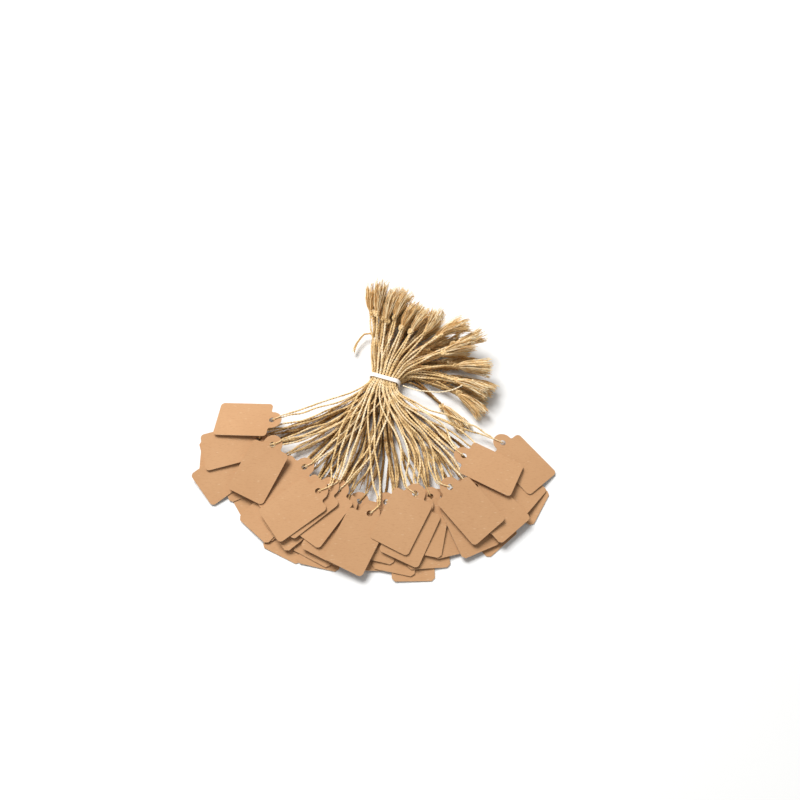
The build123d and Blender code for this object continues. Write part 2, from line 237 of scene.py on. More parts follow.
# twines: routes from the hole of each tag, through the band, to the knot behind it
twine = {
    "reach": 0.110, "splitReach": 0.0097, "entryReach": 0.0035, "hookSwing": 1.4,
    "rimReach": 0.0026, "rimRise": 0.0011, "spreadDepth": 0.020,
    "bandYaw": -18.0, "bandRun": 0.007, "bandShare": 0.93, "columns": 8,
    "pitches": (0.0025, 0.0029, 0.0029, 0.0029, 0.0025),
    "fanReach": (0.11, 0.30, 0.65), "fanTurn": (0.10, 0.48, 0.90),
    "fanShare": 0.88, "evened": 0.9, "mostEvened": 7.0,
    "tailReach": 0.044, "tailPoint": (0.42, 1.0), "tailTurn": (0.20, 1.0), "tailBend": 4,
    "tailRows": (0.80, 1.02, 0.94, 1.04, 0.96),
    "tailLengths": (1.04, 0.92, 1.0, 0.86, 0.84, 0.92, 1.04, 0.86),
    "tailAzimuths": (0.0, 0.11, 0.22, 0.34, 0.48, 0.64, 0.82, 1.0),
    "tailSpans": ((4, 98), (-2, 92), (2, 80), (-4, 66), (0, 54)),
    # the tint by row darkens the lower rows and pales the top ones: painted shade under the upper strands, painted
    # light on top
    "doubledRows": 3, "tints": (-0.10, 0.15), "rowPaintedShading": (-0.34, -0.26, -0.12, 0.03, 0.09),
    "pairWidth": 0.0036, "legRadius": 0.00075, "lay": 0.0050, "plies": 2, "step": 0.0008, "sides": 6,
}
# azimuth of the hole from -Y and share of the reach of each lower tag, lowest in the pile first
lowTags = (
    (-59, 1.01), (-40, 0.98), (-28, 1.04), (-19, 1.02), (-4, 0.98), (10, 1.06), (30, 1.04), (43, 1.03),
)
midTags = (
    (-62, 0.98), (-33, 0.98), (-17, 0.99), (-10, 0.93), (8, 1.01), (15, 1.00), (22, 0.96), (34, 0.97),
)
highTags = (
    (-49, 0.95), (-36, 1.01), (-24, 0.99), (-14, 0.97), (1, 0.93), (19, 0.94), (28, 1.01), (40, 0.95),
)
# number, azimuth, share of the reach and bow of each top tag
topTags = (
    ("04", -57, 1.08, 1), ("02", -61, 0.97, -2), ("01", -66, 0.84, -3), ("05", -38, 0.86, 3),
    ("03", -54, 0.92, 2), ("15", 47, 0.97, 1), ("16", 36, 1.02, -3), ("08", -19, 0.90, 3),
    ("07", -23, 0.91, -2), ("06", -26, 0.97, -4), ("14", 59, 0.94, 4), ("13", 41, 0.81, 1),
    ("11", 15, 0.99, 4), ("09", -5, 1.02, -4), ("10", 13, 0.91, 3), ("12", 27, 0.95, 3),
)

# sideways swing at the hole by tag number, to the right when seen from the tags' side
hooks = {
    "01": 0.001, "02": -0.002, "03": 0.002, "05": 0.003, "06": 0.005, "07": 0.004, "08": 0.003, "09": 0.0045,
    "10": -0.005, "11": -0.003, "12": -0.006, "13": -0.002, "14": -0.002, "15": 0.002, "16": -0.003, "19": -0.003,
    "20": -0.002, "21": 0.004, "22": 0.004, "26": 0.004, "27": -0.004, "28": 0.003, "29": -0.005, "30": 0.004,
    "31": -0.004, "35": 0.004, "37": 0.005, "38": -0.001, "39": -0.004,
}
# tails at the right, drawn in towards the rest as the photo shows them
tailMoves = {"24": (-0.005, 0.008), "32": (-0.003, 0.0095), "23": (-0.001, 0.005), "40": (-0.001, 0.006)}


def tagList():
    # every tag with its number, its row in the band and its column by azimuth
    tags = [
        {"number": f"{number:02d}", "azimuth": azimuth, "reach": reach, "bow": 0}
        for number, (azimuth, reach) in enumerate(lowTags + midTags + highTags, len(topTags) + 1)
    ]
    tags += [
        {"number": number, "azimuth": azimuth, "reach": reach, "bow": bow}
        for number, azimuth, reach, bow in topTags
    ]
    half = twine["columns"] // 2
    for row in range(len(tags) // twine["columns"]):
        members = tags[row * twine["columns"]:(row + 1) * twine["columns"]]
        for column, tag in enumerate(sorted(members, key=lambda member: member["azimuth"])):
            tag["row"], tag["column"] = row, column
            tag["node"], tag["card"] = f"twine_{tag['number']}", f"tag_{tag['number']}"
            if int(tag["number"]) > len(topTags):
                tag["node"] = f"under_twines_{row * half + column % half + 1:02d}"
    ranked = sorted(tags, key=lambda member: member["azimuth"])
    # the lower cards lie two to a node, by azimuth
    lower = [tag for tag in ranked if int(tag["number"]) > len(topTags)]
    for rank, tag in enumerate(lower):
        tag["card"] = f"under_tags_{rank // 2 + 1:02d}"
    # the fan is bowed towards an even spread, as the photo shows it between band and tags
    low, high = ranked[0]["azimuth"] * twine["fanShare"], ranked[-1]["azimuth"] * twine["fanShare"]
    for rank, tag in enumerate(ranked):
        even = low + (high - low) * rank / (len(ranked) - 1)
        aside = twine["evened"] * (even - tag["azimuth"])
        tag["bow"] += min(twine["mostEvened"], max(-twine["mostEvened"], aside))
    return tags


yaw = math.radians(twine["bandYaw"])
bandAxis = Vector((math.cos(yaw), math.sin(yaw)))
front = Vector((bandAxis.y, -bandAxis.x))


def planRoute(tag):
    # the route's places on the table, hole first, close to those of the CAD twine
    angle = math.radians(tag["azimuth"])
    hole = Vector((math.sin(angle), -math.cos(angle))) * twine["reach"] * tag["reach"]
    approach = (hole + front * twine["spreadDepth"]).normalized()
    split = hole - approach * twine["splitReach"]
    offset = (tag["column"] - (twine["columns"] - 1) / 2) * twine["pitches"][tag["row"]] * twine["bandShare"]
    fanExit = bandAxis * offset + front * twine["bandRun"] / 2
    centre = -front * twine["spreadDepth"]
    near, far = fanExit - centre, split - centre
    start = math.atan2(near.dot(bandAxis), near.dot(front))
    finish = math.atan2(far.dot(bandAxis), far.dot(front))
    fan = []
    for reach, turn in zip(twine["fanReach"], twine["fanTurn"]):
        bow = math.radians(tag["bow"]) * math.sin(math.pi * reach)
        heading = start + (finish - start) * turn + bow
        away = near.length + (far.length - near.length) * reach
        fan.append(centre + (front * math.cos(heading) + bandAxis * math.sin(heading)) * away)
    tailExit = bandAxis * offset - front * twine["bandRun"] / 2
    arm = tailExit + centre
    start = math.atan2(arm.dot(bandAxis), -arm.dot(front))
    low, high = twine["tailSpans"][tag["row"]]
    azimuth = low + (high - low) * twine["tailAzimuths"][tag["column"]]
    finish = math.radians(azimuth + twine["bandYaw"])
    length = twine["tailReach"] * twine["tailLengths"][tag["column"]] * twine["tailRows"][tag["row"]]
    move = Vector(tailMoves.get(tag["number"], (0.0, 0.0)))
    tail = []
    for reach, turn in zip(twine["tailPoint"], twine["tailTurn"]):
        heading = start + (finish - start) * turn
        away = arm.length + length * reach
        place = -centre + (bandAxis * math.sin(heading) - front * math.cos(heading)) * away
        tail.append(place + move * reach ** twine["tailBend"])
    # in the photo some twines swing wide beside the tab and enter the hole from its side
    aside = Vector((-approach.y, approach.x)) * hooks.get(tag["number"], 0.0)
    entry = hole - approach * twine["entryReach"] + aside
    return [hole, entry, split + aside * twine["hookSwing"]] + fan[::-1] + [fanExit, tailExit] + tail


def middleHeights(node, places):
    # height of the CAD twine's middle at places on the table
    corners = [vertex.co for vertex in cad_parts[node].data.vertices]
    tree = kdtree.KDTree(len(corners))
    for index, corner in enumerate(corners):
        tree.insert((corner.x, corner.y, 0), index)
    tree.balance()
    heights = []
    for place in places:
        nearest = tree.find((place.x, place.y, 0))[2]
        around = tree.find_range((place.x, place.y, 0), nearest + twine["pairWidth"] / 2)
        levels = [corners[index].z for _, index, _ in around]
        heights.append((min(levels) + max(levels)) / 2)
    return heights


def cardHeights(tag, places):
    # height of the tag's middle plane at places near its hole, from the corners of the hole's rim
    hole = places[0]
    level = middleHeights(tag["node"], places[:1])[0]
    corners = [vertex.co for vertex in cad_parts[tag["card"]].data.vertices]
    near = [corner for corner in corners if (corner.xy - hole).length < twine["rimReach"]]
    square, total = Matrix(((0, 0, 0), (0, 0, 0), (0, 0, 0))), Vector((0, 0, 0))
    for corner in near:
        if abs(corner.z - level) < twine["rimRise"]:
            row = Vector((1, *((corner.xy - hole) / twine["rimReach"])))
            square += Matrix([row * value for value in row])
            total += row * corner.z
    plane = square.inverted() @ total
    return [plane.dot(Vector((1, *((place - hole) / twine["rimReach"])))) for place in places]


def splinePoints(points):
    # points along the smooth line that has the route's points as its control points
    data = bpy.data.curves.new("route", "CURVE")
    data.dimensions = "3D"
    spline = data.splines.new("NURBS")
    spline.points.add(len(points) - 1)
    for target, point in zip(spline.points, points):
        target.co = (*point, 1)
    spline.order_u = 3
    spline.use_endpoint_u = True
    spline.resolution_u = 24
    route = bpy.data.objects.new("route", data)
    mesh = bpy.data.meshes.new_from_object(route)
    line = [vertex.co.copy() for vertex in mesh.vertices]
    bpy.data.objects.remove(route)
    bpy.data.curves.remove(data)
    bpy.data.meshes.remove(mesh)
    return line


def ease(value):
    # from 0 to 1, slow at both ends
    value = min(1.0, max(0.0, value))
    return value * value * (3 - 2 * value)


# the two legs of a twine: above and under the card at its hole, parted over the fan, twisted in the tail
legs = {
    "overCard": 0.00090, "foldAt": 0.0014, "foldDepth": 1.3, "foldSteps": 8, "holeShare": 0.62, "holeRun": 0.020,
    "cardEdge": 0.0056, "meetAt": 0.012, "partRun": 0.014, "fanEnd": 0.020, "atBand": 0.004,
    "closed": 0.00072, "parted": (0.0014, 0.0026), "tailParted": (0.0010, 0.0020),
    "outerClosed": 0.0009, "outerParted": (0.0022, 0.0027), "outerTail": (0.0019, 0.0026),
    "tailTurns": (0.1, 0.9), "wave": 0.0005, "waveLength": (0.026, 0.060), "offTable": 1.08,
}


def legPoints(line, chance, parted, tailParted, closed):
    # one unbroken line: up one leg to the hole, through it, and back down the other leg
    travel = [0.0]
    for a, b in zip(line, line[1:]):
        travel.append(travel[-1] + (b - a).length)
    bandAt = min(range(len(line)), key=lambda i: line[i].xy.length)
    atBand, total = travel[bandAt], travel[-1]
    wide = chance.uniform(*parted)
    loose = chance.uniform(*tailParted)
    side = chance.choice((-1, 1))
    turns = chance.uniform(*legs["tailTurns"])
    waves = [(chance.uniform(*legs["waveLength"]), chance.uniform(0, 2 * math.pi)) for _ in range(4)]
    upper, lower = [], []
    for i, point in enumerate(line):
        ahead = line[min(i + 1, len(line) - 1)] - line[max(i - 1, 0)]
        across = ahead.cross(Vector((0, 0, 1))).normalized()
        above = across.cross(ahead).normalized()
        if travel[i] < atBand:
            free = ease((travel[i] - legs["meetAt"]) / legs["partRun"])
            spread = free * ease((atBand - travel[i] - legs["atBand"]) / legs["fanEnd"])
            size = closed + (wide - closed) * spread
            joined = ease((travel[i] - legs["cardEdge"]) / (legs["meetAt"] - legs["cardEdge"]))
            size += (legs["overCard"] - closed) * (1 - joined)
            angle = math.pi / 2 * (1 - joined)
        else:
            run = (travel[i] - atBand) / (total - atBand)
            spread = math.sin(math.pi * run)
            size = closed + (loose - closed) * spread
            angle = -math.pi * turns * ease(run)
        shift = (across * side * math.cos(angle) + above * math.sin(angle)) * size
        sway = [
            legs["wave"] * spread * math.sin(2 * math.pi * travel[i] / length + phase)
            for length, phase in waves
        ]
        upper.append(point + shift + across * sway[0] + above * sway[1])
        lower.append(point - shift + across * sway[2] + above * sway[3])
        pressed = legs["holeShare"] + (1 - legs["holeShare"]) * ease(travel[i] / legs["holeRun"])
        for leg in (upper[-1], lower[-1]):
            leg.z = max(leg.z, twine["legRadius"] * pressed * legs["offTable"])
    first = next(i for i, run in enumerate(travel) if run > legs["foldAt"])
    ahead = (line[first] - line[0]).normalized()
    above = (upper[first] - lower[first]).normalized()
    fold = []
    for k in range(1, legs["foldSteps"]):
        turn = math.pi / 2 - math.pi * k / legs["foldSteps"]
        reach = legs["foldAt"] - legs["overCard"] * legs["foldDepth"] * math.cos(turn)
        fold.append(line[0] + ahead * reach + above * legs["overCard"] * math.sin(turn))
    return upper[:first - 1:-1] + fold + lower[first:]


def newTree(name, inputs):
    # node tree from geometry to geometry, with its inputs by kind of socket
    tree = bpy.data.node_groups.new(name, "GeometryNodeTree")
    tree.interface.new_socket("Geometry", in_out="OUTPUT", socket_type="NodeSocketGeometry")
    for kind, labels in {"Geometry": ("Geometry",), **inputs, "Material": ("Material",)}.items():
        for label in labels:
            tree.interface.new_socket(label, in_out="INPUT", socket_type="NodeSocket" + kind)
    return tree, addNode(tree, "NodeGroupInput").outputs


def realized(tree, geometry):
    return addNode(tree, "GeometryNodeRealizeInstances", None, {"Geometry": geometry}).outputs["Geometry"]


def closeTree(tree, given, geometry):
    # the material and the way out
    dyed = addNode(tree, "GeometryNodeSetMaterial", None, {"Geometry": geometry, "Material": given["Material"]})
    addNode(tree, "NodeGroupOutput", None, {"Geometry": dyed.outputs["Geometry"]})
    return tree


def sideways(tree, angle, size):
    # step away from a curve, at an angle round it
    normal = addNode(tree, "GeometryNodeInputNormal").outputs["Normal"]
    tangent = addNode(tree, "GeometryNodeInputTangent").outputs["Tangent"]
    side = workedVector(tree, "CROSS_PRODUCT", tangent, normal)
    first = scaled(tree, normal, worked(tree, "COSINE", angle))
    second = scaled(tree, side, worked(tree, "SINE", angle))
    return scaled(tree, workedVector(tree, "ADD", first, second), size)


def shifted(tree, geometry, offset):
    node = addNode(tree, "GeometryNodeSetPosition", None, {"Geometry": geometry, "Offset": offset})
    return node.outputs["Geometry"]


def keptAbove(tree, geometry, least):
    # what would lie under a height is lifted to it
    position = addNode(tree, "GeometryNodeInputPosition").outputs["Position"]
    place = addNode(tree, "ShaderNodeSeparateXYZ", None, {"Vector": position}).outputs
    lifted = addNode(tree, "ShaderNodeCombineXYZ", None, {
        "X": place["X"], "Y": place["Y"], "Z": worked(tree, "MAXIMUM", place["Z"], least),
    })
    lying = addNode(tree, "GeometryNodeSetPosition", None, {
        "Geometry": geometry, "Position": lifted.outputs["Vector"],
    })
    return lying.outputs["Geometry"]


def tinted(tree, geometry, tint):
    # the tint that the jute materials read
    marked = addNode(tree, "GeometryNodeStoreNamedAttribute", {"data_type": "FLOAT", "domain": "POINT"}, {
        "Geometry": geometry, "Name": "tint", "Value": tint,
    })
    return marked.outputs["Geometry"]


def tubed(tree, curve, sides, radius, settings):
    # tube along a curve
    ring = addNode(tree, "GeometryNodeCurvePrimitiveCircle", {"mode": "RADIUS"}, {
        "Resolution": sides, "Radius": radius,
    })
    tube = addNode(tree, "GeometryNodeCurveToMesh", None, {
        "Curve": curve, "Profile Curve": ring.outputs["Curve"], **settings,
    })
    return tube.outputs["Mesh"]


def randomNumber(tree, low, high, inputs):
    node = addNode(tree, "FunctionNodeRandomValue", {"data_type": "FLOAT"}, {2: low, 3: high, **inputs})
    return node.outputs[1]


def randomTurn(tree, axis, direction, low, high, seed):
    # an axis laid along a direction, then turned by angles drawn between two limits
    angles = addNode(tree, "FunctionNodeRandomValue", {"data_type": "FLOAT_VECTOR"}, {
        0: low, 1: high, "Seed": seed,
    })
    along = addNode(tree, "FunctionNodeAlignRotationToVector", {"axis": axis}, {"Vector": direction})
    by = addNode(tree, "FunctionNodeEulerToRotation", None, {"Euler": angles.outputs["Value"]})
    turned = addNode(tree, "FunctionNodeRotateRotation", {"rotation_space": "LOCAL"}, {
        "Rotation": along.outputs["Rotation"], "Rotate By": by.outputs["Rotation"],
    })
    return turned.outputs["Rotation"]


# the yarn of a leg: plies wound round its middle, with thick and thin places and slow changes of tint
yarn = {
    "pressedFrom": 0.003, "plyOut": 0.46, "plyRadius": 0.58, "lumpScale": 0.6, "lumpSeen": (0.25, 0.75),
    "lumps": (0.85, 1.15), "fadeScale": 0.11, "fade": 0.4,
}


def twistedTwineTree():
    # plies wound round each leg
    tree, given = newTree("twistedTwine", {
        "Float": ("Leg Radius", "Hole Share", "Hole Run", "Lay", "Step", "Tint"), "Int": ("Plies", "Sides", "Seed"),
    })
    even = addNode(tree, "GeometryNodeResampleCurve", {"mode": "LENGTH"}, {
        "Curve": given["Geometry"], "Length": given["Step"],
    })
    copies = addNode(tree, "GeometryNodeDuplicateElements", {"domain": "SPLINE"}, {
        "Geometry": even.outputs["Curve"], "Amount": given["Plies"],
    })
    along = addNode(tree, "GeometryNodeSplineParameter").outputs["Length"]
    winds = worked(tree, "DIVIDE", along, given["Lay"])
    share = worked(tree, "DIVIDE", copies.outputs["Duplicate Index"], given["Plies"])
    angle = worked(tree, "MULTIPLY", worked(tree, "ADD", winds, share), 2 * math.pi)
    # the middle of a strand lies in the hole, pressed thinner by the card
    middle = worked(tree, "MULTIPLY", addNode(tree, "GeometryNodeSplineLength").outputs["Length"], 0.5)
    distance = worked(tree, "ABSOLUTE", worked(tree, "SUBTRACT", along, middle))
    pressed = ranged(
        tree, distance, (yarn["pressedFrom"], given["Hole Run"]), (given["Hole Share"], 1.0), "SMOOTHSTEP",
    )
    legSize = worked(tree, "MULTIPLY", given["Leg Radius"], pressed)
    out = worked(tree, "MULTIPLY", legSize, yarn["plyOut"])
    wound = shifted(tree, copies.outputs["Geometry"], sideways(tree, angle, out))
    lump = addNode(tree, "ShaderNodeTexNoise", {"noise_dimensions": "1D"}, {
        "W": winds, "Scale": yarn["lumpScale"], "Detail": 2.0,
    })
    swell = ranged(tree, lump.outputs["Fac"], yarn["lumpSeen"], yarn["lumps"])
    place = addNode(tree, "ShaderNodeCombineXYZ", None, {"X": winds, "Y": given["Seed"]})
    slow = addNode(tree, "ShaderNodeTexNoise", {"noise_dimensions": "2D"}, {
        "Vector": place.outputs["Vector"], "Scale": yarn["fadeScale"], "Detail": 1.0,
    })
    marked = tinted(tree, wound, worked(tree, "MULTIPLY_ADD", slow.outputs["Fac"], yarn["fade"], given["Tint"]))
    plyRadius = worked(tree, "MULTIPLY", given["Leg Radius"], yarn["plyRadius"])
    tube = tubed(tree, marked, given["Sides"], plyRadius, {
        "Scale": worked(tree, "MULTIPLY", swell, pressed), "Fill Caps": True,
    })
    smooth = addNode(tree, "GeometryNodeSetShadeSmooth", None, {"Geometry": tube})
    return closeTree(tree, given, realized(tree, smooth.outputs["Geometry"]))


def polyCurve(name, lines):
    # open polylines as one curve, to feed a node tree
    data = bpy.data.curves.new(name, "CURVE")
    data.dimensions = "3D"
    for line in lines:
        spline = data.splines.new("POLY")
        spline.points.add(len(line) - 1)
        for target, point in zip(spline.points, line):
            target.co = (*point, 1)
    holder = bpy.data.objects.new(name, data)
    scene.collection.objects.link(holder)
    return holder


def grown(holder, tree, values):
    # mesh that a node tree makes from a holder, which is removed
    grower = holder.modifiers.new("grow", "NODES")
    grower.node_group = tree
    names = {item.name: item.identifier for item in tree.interface.items_tree if item.in_out == "INPUT"}
    for name, value in values.items():
        grower[names[name]] = value
    graph = bpy.context.evaluated_depsgraph_get()
    finished = holder.evaluated_get(graph)
    mesh = bpy.data.meshes.new_from_object(finished, preserve_all_data_layers=True, depsgraph=graph)
    holder.modifiers.remove(grower)
    data = holder.data
    bpy.data.objects.remove(holder)
    bpy.data.curves.remove(data)
    return mesh


plyTree = twistedTwineTree()


def twinedMesh(name, lines, radius, holeShare, seed, tint):
    # lines dressed as twisted twine
    return grown(polyCurve(name, lines), plyTree, {
        "Leg Radius": radius, "Hole Share": holeShare, "Hole Run": legs["holeRun"], "Lay": twine["lay"],
        "Step": twine["step"], "Plies": twine["plies"], "Sides": twine["sides"], "Seed": seed, "Tint": tint,
        "Material": twineMaterial,
    })


chance = random.Random(20)
tags = tagList()
legLines = []
for tag in tags:
    places = planRoute(tag)
    heights = cardHeights(tag, places[:3]) + middleHeights(tag["node"], places[3:])
    line = splinePoints([Vector((*place, height)) for place, height in zip(places, heights)])
    strands = [legPoints(line, chance, legs["parted"], legs["tailParted"], legs["closed"])]
    if tag["row"] < twine["doubledRows"]:
        # a second folded strand beside the first makes the fan about as dense as in the photo
        strands.append(legPoints(line, chance, legs["outerParted"], legs["outerTail"], legs["outerClosed"]))
    legLines += strands
    seed = chance.randrange(1000)
    # the row's share of the tint is painted shade on the lower rows and painted light on the top rows; the rest
    # differs at random
    tint = chance.uniform(*twine["tints"]) + twine["rowPaintedShading"][tag["row"]]
    mesh = twinedMesh("legs", strands, twine["legRadius"], legs["holeShare"], seed, tint)
    piece = addPiece("juteTwine" + tag["number"], mesh, "bundle")
    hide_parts(tag["node"])
    tag["end"] = line[-1]
    tag["endRun"] = (line[-1] - line[-4]).normalized()
print("twines laid", len(tags))

# knots and frayed ends behind the band
ends = {
    "knotWidth": 0.0046, "knotAt": 0.0021, "knotSteps": 48, "knotLead": 0.45, "knotOpen": 0.12, "knotSide": 1.2,
    "knotTwine": 0.9, "knotLift": 0.62,
    "frayAt": 0.0036, "frayLength": (0.018, 0.028), "frayPoints": 7, "bend": 0.30, "droop": (0.04, 0.20),
    "fibres": 140, "neck": 0.0016, "flare": 0.0056, "opening": 0.5, "wander": 0.0075, "fibreRadius": 0.00019,
    "curlScale": 110.0, "curlApart": 3.7, "offTable": 0.0003, "shades": (-0.25, 0.65), "tipPaler": 0.25,
    "cutAt": (0.72, 1.0), "fibreSides": 3, "tufts": 10,
}


def knotLines():
    # the two legs side by side through an overhand knot, its ends along Y
    unit = ends["knotWidth"] / 6
    lines = []
    for lead in (-ends["knotLead"], ends["knotLead"]):
        line = []
        for k in range(ends["knotSteps"] + 1):
            t = ends["knotOpen"] + (2 * math.pi - 2 * ends["knotOpen"]) * k / ends["knotSteps"]
            out = 2 + math.cos(3 * t + lead)
            place = (out * math.cos(2 * t) - ends["knotSide"], out * math.sin(2 * t), math.sin(3 * t + lead))
            line.append(Vector(place) * unit)
        lines.append(line)
    return lines


def knotTree():
    # one knot at the start of each end line, turned its own way
    tree, given = newTree("overhandKnots", {"Object": ("Knot",), "Int": ("Seed",)})
    knot = addNode(tree, "GeometryNodeObjectInfo", None, {"Object": given["Knot"]})
    start = addNode(tree, "GeometryNodeCurveEndpointSelection", None, {"Start Size": 1, "End Size": 0})
    tangent = addNode(tree, "GeometryNodeInputTangent").outputs["Tangent"]
    placed = addNode(tree, "GeometryNodeInstanceOnPoints", None, {
        "Points": given["Geometry"], "Selection": start.outputs["Selection"], "Instance": knot.outputs["Geometry"],
        "Rotation": randomTurn(tree, "Y", tangent, (0, 0, 0), (0, 2 * math.pi, 0), given["Seed"]),
    })
    return closeTree(tree, given, realized(tree, placed.outputs["Instances"]))


def frayTree():
    # loose fibres that flare from each end line, uneven in length, none below the table
    tree, given = newTree("frayedEnds", {
        "Float": ("Neck", "Flare", "Opening", "Wander", "Fibre Radius"), "Int": ("Fibres", "Seed"),
    })
    even = addNode(tree, "GeometryNodeResampleCurve", {"mode": "COUNT"}, {
        "Curve": given["Geometry"], "Count": ends["frayPoints"],
    })
    copies = addNode(tree, "GeometryNodeDuplicateElements", {"domain": "SPLINE"}, {
        "Geometry": even.outputs["Curve"], "Amount": given["Fibres"],
    })
    which = addNode(tree, "GeometryNodeCurveOfPoint").outputs["Curve Index"]
    share = addNode(tree, "GeometryNodeSplineParameter").outputs["Factor"]
    # each fibre keeps its own place in the tuft, its own curl and its own shade
    out = randomNumber(tree, 0.0, 1.0, {"ID": which, "Seed": given["Seed"]})
    about = randomNumber(tree, 0.0, 1.0, {"ID": which, "Seed": worked(tree, "ADD", given["Seed"], 1.0)})
    opened = worked(tree, "POWER", share, given["Opening"])
    width = ranged(tree, opened, (0.0, 1.0), (given["Neck"], given["Flare"]))
    size = worked(tree, "MULTIPLY", width, worked(tree, "SQRT", out))
    flare = sideways(tree, worked(tree, "MULTIPLY", about, 2 * math.pi), size)
    curl = addNode(tree, "ShaderNodeTexNoise", {"noise_dimensions": "4D"}, {
        "Vector": addNode(tree, "GeometryNodeInputPosition").outputs["Position"],
        "W": worked(tree, "MULTIPLY", which, ends["curlApart"]), "Scale": ends["curlScale"], "Detail": 1.0,
    })
    centred = workedVector(tree, "SUBTRACT", curl.outputs["Color"], (0.5, 0.5, 0.5))
    wander = scaled(tree, centred, worked(tree, "MULTIPLY", given["Wander"], share))
    combed = shifted(tree, copies.outputs["Geometry"], workedVector(tree, "ADD", flare, wander))
    lying = keptAbove(tree, combed, ends["offTable"])
    shade = randomNumber(tree, *ends["shades"], {"ID": which, "Seed": worked(tree, "ADD", given["Seed"], 2.0)})
    marked = tinted(tree, lying, worked(tree, "MULTIPLY_ADD", share, ends["tipPaler"], shade))
    uneven = addNode(tree, "GeometryNodeTrimCurve", {"mode": "FACTOR"}, {
        "Curve": marked, "Start": 0.0, "End": randomNumber(tree, *ends["cutAt"], {"Seed": given["Seed"]}),
    })
    tube = tubed(tree, uneven.outputs["Curve"], ends["fibreSides"], given["Fibre Radius"], {"Fill Caps": True})
    return closeTree(tree, given, realized(tree, tube))


def endLine(tag):
    # from the knot to the tip of the frayed end, bent a little aside and down by its own weight
    run = tag["endRun"]
    aside = run.cross(Vector((0, 0, 1))).normalized()
    length = chance.uniform(*ends["frayLength"])
    bend = chance.uniform(-ends["bend"], ends["bend"])
    if tag["column"] == 0:
        bend = abs(bend) / 2  # the left edge of the tail stays straight
    droop = Vector((0, 0, chance.uniform(*ends["droop"])))
    start = tag["end"] + run * ends["frayAt"]
    line = []
    for k in range(ends["frayPoints"]):
        reach = k / (ends["frayPoints"] - 1)
        line.append(start + (run * reach + aside * bend * reach ** 2 - droop * reach ** 2) * length)
    return line


knotMesh = twinedMesh("knotLines", knotLines(), twine["legRadius"] * ends["knotTwine"], 1.0, 5, 0.0)
knot = bpy.data.objects.new("overhandKnot", knotMesh)
scene.collection.objects.link(knot)
knotAxes = []
for tag in tags:
    seat = tag["end"] + tag["endRun"] * ends["knotAt"]
    seat.z = max(seat.z, ends["knotWidth"] * ends["knotLift"])
    knotAxes.append([seat, seat + tag["endRun"] * ends["knotWidth"]])
mesh = grown(polyCurve("knotAxes", knotAxes), knotTree(), {"Knot": knot, "Seed": 11, "Material": twineMaterial})
bpy.data.objects.remove(knot)
addPiece("overhandKnots", mesh, "bundle")

fraysTree = frayTree()


def frayedMesh(name, lines, look, seed):
    # lines dressed as loose fibres
    return grown(polyCurve(name, lines), fraysTree, {
        "Neck": look["neck"], "Flare": look["flare"], "Opening": look["opening"], "Wander": look["wander"],
        "Fibre Radius": ends["fibreRadius"], "Fibres": look["fibres"], "Seed": seed, "Material": frayMaterial,
    })


endLines = [endLine(tag) for tag in tags]
for number, first in enumerate(range(0, len(endLines), ends["tufts"]), 1):
    mesh = frayedMesh("endLines", endLines[first:first + ends["tufts"]], ends, number)
    addPiece(f"frayedEnds{number}", mesh, "bundle")
print("knots tied and ends frayed")

# one end beside the leftmost twine has slipped out and curls away to the left
stray = {
    "down": 0.012, "left": (0.0, 0.003, 0.008, 0.013, 0.0155, 0.0165), "sink": 0.0006,
    "back": (0.0, 0.003, 0.003, -0.003, -0.009, -0.014),
    "neck": 0.0006, "flare": 0.0014, "opening": 2.0, "wander": 0.0010, "fibres": 50,
}
leftmost = min(tags, key=lambda tag: tag["end"].x + tag["end"].z)
root = leftmost["end"] - leftmost["endRun"] * stray["down"]
strayLine = [
    root + Vector((-left, back, -stray["sink"] * k))
    for k, (left, back) in enumerate(zip(stray["left"], stray["back"]))
]
addPiece("strayEnd", frayedMesh("strayLine", [strayLine], stray, 31), "bundle")

# one pale thin strand lies loose across the tails, from the band's right end
loose = {
    "places": (
        (0.014, -0.0045, 0.007), (0.024, -0.0104, 0.010), (0.033, -0.0118, 0.011), (0.041, -0.0135, 0.012),
        (0.053, -0.0118, 0.013), (0.061, -0.0070, 0.014), (0.068, -0.0035, 0.015),
    ),
    "radius": 0.00056, "tint": 0.55,
}
looseLine = splinePoints([Vector(place) for place in loose["places"]])
mesh = twinedMesh("looseLine", [looseLine], loose["radius"], 1.0, 17, loose["tint"])
addPiece("looseStrand", mesh, "bundle")
print("loose strands laid")

# stray hairs along every leg, but not in the band or at the hole
hairs = {
    "every": 0.0024, "length": 0.0034, "radius": 0.00006, "lean": (0.2, 0.8), "clear": 0.010, "bandClear": 0.007,
    "bow": 0.0003, "steps": 2, "sides": 3, "sizes": (0.4, 1.4), "offTable": 0.0001,
}
# longer shed fibres, caught between the lower strands of the fan and over most of the tail: partly the twine's real
# fuzz, partly painted shade, brown fibres put into gaps that are shade
shedFuzzAndShade = {
    "every": 0.0009, "length": 0.0085, "radius": 0.00012, "lean": (0.10, 0.9),
    "from": 0.022, "until": 0.084, "tailFrom": -0.0125, "tailSide": -0.012,
}


